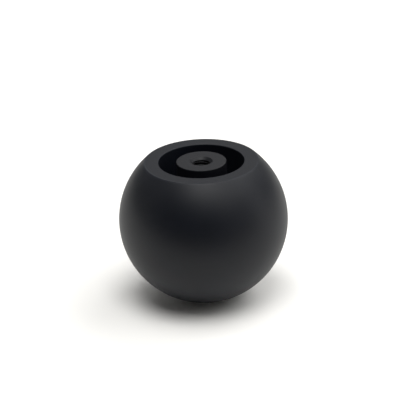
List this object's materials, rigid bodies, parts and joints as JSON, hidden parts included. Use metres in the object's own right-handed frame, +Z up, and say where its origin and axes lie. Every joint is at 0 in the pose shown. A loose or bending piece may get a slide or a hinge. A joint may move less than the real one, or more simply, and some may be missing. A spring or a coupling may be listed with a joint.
{
  "type": "case opening friction ball",
  "caption": "Rubber-skinned ball with a flat top, a deep ring channel and a level centre boss with an M8 threaded hole, for opening watch cases by grip.",
  "frame": {"origin": "lowest point of the ball, on the surface it stands on, under the middle of the ball", "axes": "+Z up along the ball's axis, out of the threaded hole; +Y through the first hub screw; +X to the right of it, seen from above with +Y away"},
  "size_m": [0.065, 0.065, 0.0565],
  "materials": {
    "grip_rubber": "satin",
    "core_acetal": "satin",
    "hub_nylon": "satin",
    "bush_steel": "satin",
    "screw_steel": "satin",
    "insert_brass": "satin"
  },
  "bodies": {
    "root": {"grip_skin": "grip_rubber", "ball_core": "core_acetal", "centre_hub": "hub_nylon", "thread_bush": "bush_steel", "hub_screw_1": "screw_steel", "hub_screw_2": "screw_steel", "hub_screw_3": "screw_steel", "core_insert_1": "insert_brass", "core_insert_2": "insert_brass", "core_insert_3": "insert_brass"}
  },
  "joints": []
}
